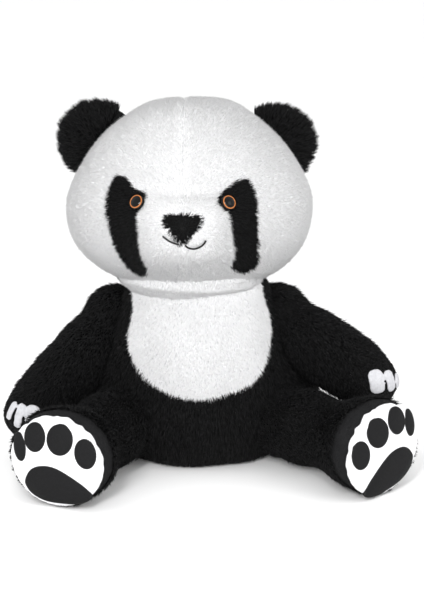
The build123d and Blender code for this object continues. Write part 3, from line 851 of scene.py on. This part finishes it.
for side in ("left", "right"):
    # ------------------------------------------------------------ arm
    body = f"arm_{side}"
    names = BODIES[body]
    shell = [n for n in names if not n.endswith("stuffing")]
    shoulder = np.array(JOINTS[body]["pos_m"])
    axis = unit(surface_centroid(f"arm_{side}_stuffing") - shoulder)
    points, faces = stuffed(body, names, LIMB_VOXEL, LIMB_CAP,
                            lambda places: (places - shoulder) @ axis < 0.012)
    points = points + normals_of(points, faces) * (lumps(points, 0.07, 21) * 0.0010)[:, None]
    claws = f"claws_{side}"
    skin(f"arm_{side}_skin", points, faces, [BLACK_BACKING], np.zeros(len(faces)), body,
         [n for n in names if n != claws])
    claw_points, claw_faces = rigid_remesh(body, [claws], CLAW_VOXEL, 5)
    claw_points = claw_points + normals_of(claw_points, claw_faces) * 0.0002
    skin(claws + "_soft", claw_points, claw_faces, [CLAW_FELT], np.zeros(len(claw_faces)), body,
         [claws])
    where, normal = sample(points, faces, 56, rng)
    owner = Panels(shell).at(where)
    along = (where - shoulder) @ axis
    keep = (owner != shell.index(claws)) & (along > -0.03)
    where, normal, along = where[keep], normal[keep], along[keep]
    tip = along.max()
    reach = np.interp(along, [0, tip - 0.06, tip - 0.03, tip], [0.012, 0.012, 0.0055, 0.0038])
    comb = np.tile(axis, (len(where), 1)) + np.array([0, 0, -0.35])
    furred(f"fur_arm_{side}", body, where, normal, comb, reach, 0.0011, 0.32, clump=(0.006, 0.2), wander=0.16)

    # ------------------------------------------------------------ leg
    body = f"leg_{side}"
    hip = np.array(JOINTS[body]["pos_m"])
    covers = [f"leg_{side}_upper_panel", f"leg_{side}_under_panel", f"foot_{side}_sole_cover"]
    axis = unit(surface_centroid(f"leg_{side}_stuffing") - hip)
    replaced = covers + [f"leg_{side}_stuffing"]
    points, faces = stuffed(
        body, replaced, LIMB_VOXEL, LIMB_CAP,
        lambda places: ((places - hip) @ axis < 0.015) | ((places - hip) @ axis > SOLE_AT))
    points = points + normals_of(points, faces) * (lumps(points, 0.07, 31) * 0.0008)[:, None]
    points[:, 2] = np.maximum(points[:, 2], 0.0006)
    panels = Panels(covers)
    owner = panels.at(points[faces].mean(axis=1))
    skin(f"leg_{side}_skin", points, faces, [BLACK_BACKING, BLACK_VELOUR],
         (owner == SOLE_COVER).astype(int), body, replaced)
    where, normal = sample(points, faces, 52, rng)
    owner = panels.at(where)
    along = (where - hip) @ axis
    keep = (owner != SOLE_COVER) & (along > 0.0)
    where, normal = where[keep], normal[keep]
    comb = np.tile(axis, (len(where), 1)) + np.array([0, 0, -0.3])
    reach = np.full(len(where), 0.010)
    furred(f"fur_leg_{side}", body, where, normal, comb, reach, 0.0011, 0.32, clump=(0.006, 0.2), wander=0.16)
    # the velour band round the sole: smooth above and inside, shaggy below and outside
    across = unit(np.cross([0, 0, 1], axis))
    up = np.cross(axis, across)
    outer = -1 if side == "right" else 1
    where, normal = sample(points, faces, 110, rng)
    owner = panels.at(where)
    on_band = (owner == SOLE_COVER) & (normal @ axis < 0.75)
    where, normal = where[on_band], normal[on_band]
    facing = normal @ (across * outer) * 0.8 - normal @ up * 0.75
    shaggy = facing > 0.35
    plain = ~shaggy
    velvet = spikes(f"velour_{side}", where[plain], normal[plain], np.tile(axis, (plain.sum(), 1)),
                    np.full(plain.sum(), 0.0022), 0.0008, 0.5, VELOUR_PILE, rng, straight=True)
    fur_piece(velvet, body)
    thin = shaggy & (rng.random(len(where)) < 0.45)
    comb = np.tile(axis * 0.8, (thin.sum(), 1)) + normal[thin] * 0.4
    shag = spikes(f"fur_foot_{side}", where[thin], normal[thin], comb,
                  np.full(thin.sum(), 0.0085), 0.0014, 0.55, BLACK_FUR, rng, clump=(0.008, 0.5))
    fur_piece(shag, body)
    build_sole(side, body, hip, axis, across, up)

    # ------------------------------------------------------------ ear
    body = f"ear_{side}"
    base = np.array(JOINTS[body]["pos_m"])
    names = BODIES[body]
    outward = unit(surface_centroid(f"ear_{side}_stuffing") - base)
    points, faces = stuffed(body, names, EAR_VOXEL, EAR_CAP,
                            lambda places: (places - base) @ outward < 0.004)
    skin(f"ear_{side}_skin", points, faces, [BLACK_BACKING], np.zeros(len(faces)), body, names)
    where, normal = sample(points, faces, 80, rng)
    keep = (where - base) @ outward > 0.004
    where, normal = where[keep], normal[keep]
    comb = unit(where - base) + outward * 0.4
    reach = np.full(len(where), 0.0125)
    furred(f"fur_ear_{side}", body, where, normal, comb, reach, 0.0009, 0.42, clump=(0.007, 0.3), wander=0.22)

# ================================================================ eyes and mouth
FINISHES = {"mouth_stitching": THREAD}
for side in ("left", "right"):
    FINISHES[f"eye_{side}"] = EYE_GLOSS
    FINISHES[f"eye_{side}_iris_ring"] = AMBER
    FINISHES[f"eye_{side}_washer"] = EYE_GLOSS
for node, material in FINISHES.items():
    NODES[node].data.materials.clear()
    NODES[node].data.materials.append(material)

# ================================================================ stage
bpy.ops.mesh.primitive_plane_add(size=12, location=(0, 3, -0.0005))
floor = bpy.context.object
floor.name = "floor"
floor.data.materials.append(principled("floor", (0.93, 0.93, 0.93), 0.9))

world = bpy.data.worlds.new("world")
world.use_nodes = True
world.node_tree.nodes["Background"].inputs["Color"].default_value = (1, 1, 1, 1)
world.node_tree.nodes["Background"].inputs["Strength"].default_value = 1.08
bpy.context.scene.world = world


def area_light(name, place, target, size, power):
    data = bpy.data.lights.new(name, "AREA")
    data.energy = power
    data.size = size
    obj = bpy.data.objects.new(name, data)
    obj.location = place
    obj.rotation_euler = (Vector(target) - Vector(place)).to_track_quat("-Z", "Y").to_euler()
    bpy.context.scene.collection.objects.link(obj)


area_light("key", (-0.45, -2.1, 1.1), (0, 0, 0.25), 0.4, 20)
area_light("glint", (-0.15, -1.7, 1.25), (0, 0, 0.3), 0.22, 9)
area_light("fill", (1.6, -1.2, 1.2), (0, 0, 0.2), 1.2, 8)
area_light("front", (0.1, -2.4, 0.25), (0, 0, 0.26), 1.6, 25)

VIEW_ELEVATION = math.radians(14)
VIEW_DISTANCE = 2.2
TARGET = Vector((0.0168, 0, 0.179))
camera_data = bpy.data.cameras.new("camera")
camera_data.lens = 110
camera = bpy.data.objects.new("camera", camera_data)
bpy.context.scene.collection.objects.link(camera)
camera.location = TARGET + Vector((0, -math.cos(VIEW_ELEVATION), math.sin(VIEW_ELEVATION))) * VIEW_DISTANCE
camera.rotation_euler = (math.pi / 2 - VIEW_ELEVATION, 0, 0)
camera_data.dof.use_dof = False
bpy.context.scene.camera = camera
bpy.context.scene.view_settings.view_transform = "Standard"
bpy.context.scene.cycles.max_bounces = 12
bpy.context.scene.cycles.diffuse_bounces = 8
